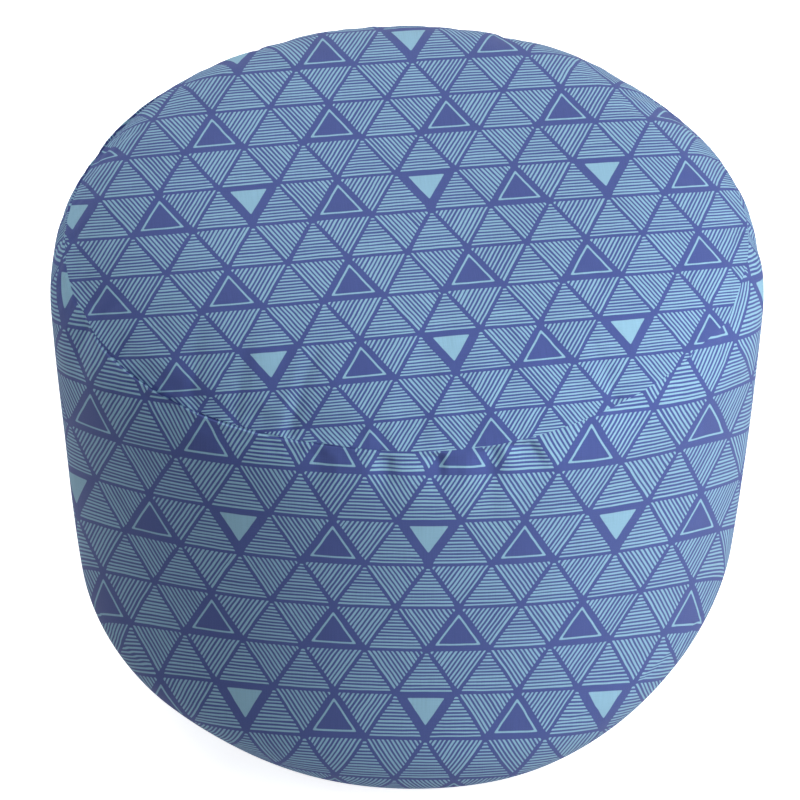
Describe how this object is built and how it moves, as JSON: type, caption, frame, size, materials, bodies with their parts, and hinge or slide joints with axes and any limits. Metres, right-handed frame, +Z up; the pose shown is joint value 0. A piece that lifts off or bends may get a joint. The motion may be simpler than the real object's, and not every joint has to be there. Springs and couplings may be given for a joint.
{
  "type": "round floor pouf",
  "caption": "Round stuffed floor pouf with a crowned top panel, a tall side band that is drawn in at its seams and a flat base, for sitting or resting feet on.",
  "frame": {"origin": "on the floor under the middle of the pouf", "axes": "+Z up out of the crown, -Y towards the pictured front, +X to the right of someone who looks at that front"},
  "size_m": [0.6524, 0.6472, 0.5381],
  "materials": {
    "printed_cotton": "matt woven cotton, indigo ground with hatched triangles in light blue",
    "plain_cotton": "matt woven cotton, plain indigo"
  },
  "bodies": {
    "root": {"top_panel": "printed_cotton", "side_band": "printed_cotton", "base_panel": "plain_cotton"}
  },
  "joints": []
}
